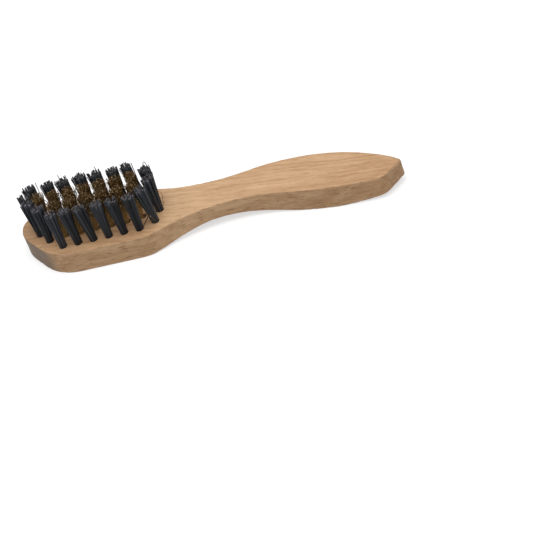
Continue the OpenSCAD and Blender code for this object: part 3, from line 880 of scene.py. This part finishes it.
class BRUSH_OT_nylon_tufts(bpy.types.Operator):
    """The ring of black nylon tufts, each filament folded under its staple"""

    bl_idname = "brush.nylon_tufts"
    bl_label = "Nylon tufts"

    def execute(self, context):
        settings = context.scene.brush_nylon
        shape = BoardShape()
        materials = [nylon(settings), nylon_end(settings)]
        mean = tuft_height(NYLON_NODES, shape.face_z) - settings.tip_drop
        radius, first_seed = settings.filament / 2, 100
        tufts = zip(NYLON_NODES, NYLON_SPREAD, NYLON_LEAN, NYLON_LOCK, NYLON_TONE)
        for i, (node, width_share, lean, lock, tone) in enumerate(tufts):
            rng = np.random.default_rng(first_seed + i)
            centre = shape.hole_centre(node)
            paths, shades = nylon_paths(shape, settings, centre, width_share, lean * MM, lock * MM, mean, rng)
            name = "nylon_bristles_" + node[-2:]
            shades = shades * tone
            bristle_piece(name, paths, shades, radius, FILAMENT_SIDES, materials, node)
        paths = hair_paths(shape, LOOSE_FILAMENTS)
        shades = np.linspace(0.2, 0.6, len(paths))
        radius = radius * LOOSE_SHARE
        bristle_piece("loose_filaments", paths, shades, radius, LOOSE_SIDES, materials)
        return {"FINISHED"}


class BRUSH_OT_brass_tufts(bpy.types.Operator):
    """The two inner rows of crimped brass wire tufts"""

    bl_idname = "brush.brass_tufts"
    bl_label = "Brass tufts"

    def execute(self, context):
        settings = context.scene.brush_brass
        shape = BoardShape()
        materials = [brass(settings)]
        mean = tuft_height(BRASS_NODES, shape.face_z) - settings.tip_drop
        radius, first_seed = settings.wire / 2, 300
        for i, (node, width_share, crowd) in enumerate(zip(BRASS_NODES, BRASS_SPREAD, BRASS_CROWD)):
            rng = np.random.default_rng(first_seed + i)
            centre = shape.hole_centre(node)
            paths = brass_paths(shape, settings, centre, width_share, crowd * MM, mean, rng)
            numbers = rng.uniform(0, 1, len(paths))
            name = "brass_bristles_" + node[-2:]
            bristle_piece(name, paths, numbers, radius, WIRE_SIDES, materials, node)
        paths = hair_paths(shape, LOOSE_WIRES)
        numbers = np.linspace(0.3, 0.7, len(paths))
        radius = radius * LOOSE_SHARE
        bristle_piece("loose_wires", paths, numbers, radius, LOOSE_SIDES, materials)
        return {"FINISHED"}


class BRUSH_OT_staples(bpy.types.Operator):
    """Drawn steel on the CAD staples that hold the tufts"""

    bl_idname = "brush.staples"
    bl_label = "Staples"

    def execute(self, context):
        material = steel()
        for name in STAPLE_NODES:
            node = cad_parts[name]
            node.data.materials.clear()
            node.data.materials.append(material)
        return {"FINISHED"}


def facing(place, back):
    """The matrix of a lamp or a camera at this place, which looks the opposite way to back."""
    return Matrix.Translation(place) @ back.to_track_quat("Z", "Y").to_matrix().to_4x4()


class BRUSH_OT_stage(bpy.types.Operator):
    """Floor, soft light and the camera"""

    bl_idname = "brush.stage"
    bl_label = "Stage"

    def execute(self, context):
        scene, settings = context.scene, context.scene.brush_stage
        self.floor(settings)
        self.light(scene, settings)
        self.camera(scene, settings)
        scene.view_settings.view_transform = "Standard"
        return {"FINISHED"}

    def floor(self, settings):
        """A level square. The camera and reflections see it white with the brush's soft shadow on it.

        A diffuse part takes the shadow, and a glow, stronger away from the brush, lifts it to white. All
        other rays see the plain colour that the settings give.
        """
        half, near, far = 3.0, 0.3, 1.0
        corners = np.array([(-half, -half, 0), (half, -half, 0), (half, half, 0), (-half, half, 0)])
        floor = add_mesh("floor", corners, [np.array([[0, 1, 2, 3]])])
        s = Shader("pale_floor")
        path = s.tree.nodes.new("ShaderNodeLightPath")
        seen = s.math("MAXIMUM", path.outputs["Is Camera Ray"], path.outputs["Is Glossy Ray"])
        plain = s.add("BsdfDiffuse", {"Color": (*settings.floor, 1)})
        shaded = s.add("BsdfDiffuse", {"Color": (0.5, 0.5, 0.5, 1)})
        strength = s.ramp(s.size(s.add("TexCoord", output="Object")), near, far, 0.62, 1.0)
        glow = s.add("Emission", {"Color": (1, 1, 1, 1), "Strength": strength})
        lifted = s.add("AddShader", {0: shaded, 1: glow})
        s.add("OutputMaterial", {"Surface": s.add("MixShader", {0: seen, 1: plain, 2: lifted})})
        floor.data.materials.append(s.material)

    def light(self, scene, settings):
        """An even sky that the camera sees white, a large soft lamp overhead and a smaller one in front."""
        world = bpy.data.worlds.new("studio")
        world.use_nodes = True
        tree = world.node_tree
        sky = tree.nodes["Background"]
        path = tree.nodes.new("ShaderNodeLightPath")
        strength = tree.nodes.new("ShaderNodeMapRange")
        strength.inputs["To Min"].default_value = settings.sky
        strength.inputs["To Max"].default_value = 1
        tree.links.new(path.outputs["Is Camera Ray"], strength.inputs["Value"])
        tree.links.new(strength.outputs["Result"], sky.inputs["Strength"])
        sky.inputs["Color"].default_value = (1, 1, 1, 1)
        scene.world = world
        lamps = (
            ("key_lamp", Vector((0.03, -0.05, 0.48)), 0.5, settings.key),
            ("fill_lamp", Vector((0.35, -0.75, 0.55)), 0.4, settings.fill),
        )
        for name, place, size, power in lamps:
            lamp = bpy.data.lights.new(name, "AREA")
            lamp.size = size
            lamp.energy = power
            add_object(name, lamp).matrix_world = facing(place, place)

    def camera(self, scene, settings):
        """A camera that looks at the aim from its azimuth and elevation, rolled about its line of sight."""
        a, e = settings.azimuth, settings.elevation
        back = Vector((math.sin(a) * math.cos(e), -math.cos(a) * math.cos(e), math.sin(e)))
        data = bpy.data.cameras.new("camera")
        data.lens = settings.focal_length
        data.sensor_width = 36
        data.clip_start = 0.01
        camera = add_object("camera", data)
        place = Vector(settings.aim) + back * settings.distance
        camera.matrix_world = facing(place, back) @ Matrix.Rotation(settings.roll, 4, "Z")
        scene.camera = camera


class BRUSH_PT_panel(bpy.types.Panel):
    """The sizes, colours and steps of the brush"""

    bl_idname = "BRUSH_PT_panel"
    bl_label = "Suede brush"
    bl_space_type = "VIEW_3D"
    bl_region_type = "UI"
    bl_category = "Brush"

    def draw(self, context):
        for operator in OPERATORS:
            self.layout.operator(operator.bl_idname)
        for name, group in SETTINGS.items():
            box = self.layout.box()
            for prop in group.__annotations__:
                box.prop(getattr(context.scene, name), prop)


SETTINGS = {
    "brush_board": BoardSettings,
    "brush_nylon": NylonSettings,
    "brush_brass": BrassSettings,
    "brush_stage": StageSettings,
}
OPERATORS = (
    BRUSH_OT_beech_board,
    BRUSH_OT_nylon_tufts,
    BRUSH_OT_brass_tufts,
    BRUSH_OT_staples,
    BRUSH_OT_stage,
)


def register():
    for cls in (*SETTINGS.values(), *OPERATORS, BRUSH_PT_panel):
        bpy.utils.register_class(cls)
    for name, group in SETTINGS.items():
        setattr(bpy.types.Scene, name, PointerProperty(type=group))


def unregister():
    for name in SETTINGS:
        delattr(bpy.types.Scene, name)
    for cls in reversed((*SETTINGS.values(), *OPERATORS, BRUSH_PT_panel)):
        bpy.utils.unregister_class(cls)


def main():
    register()
    bpy.ops.brush.beech_board()
    bpy.ops.brush.nylon_tufts()
    bpy.ops.brush.brass_tufts()
    bpy.ops.brush.staples()
    bpy.ops.brush.stage()


if __name__ == "__main__":
    main()
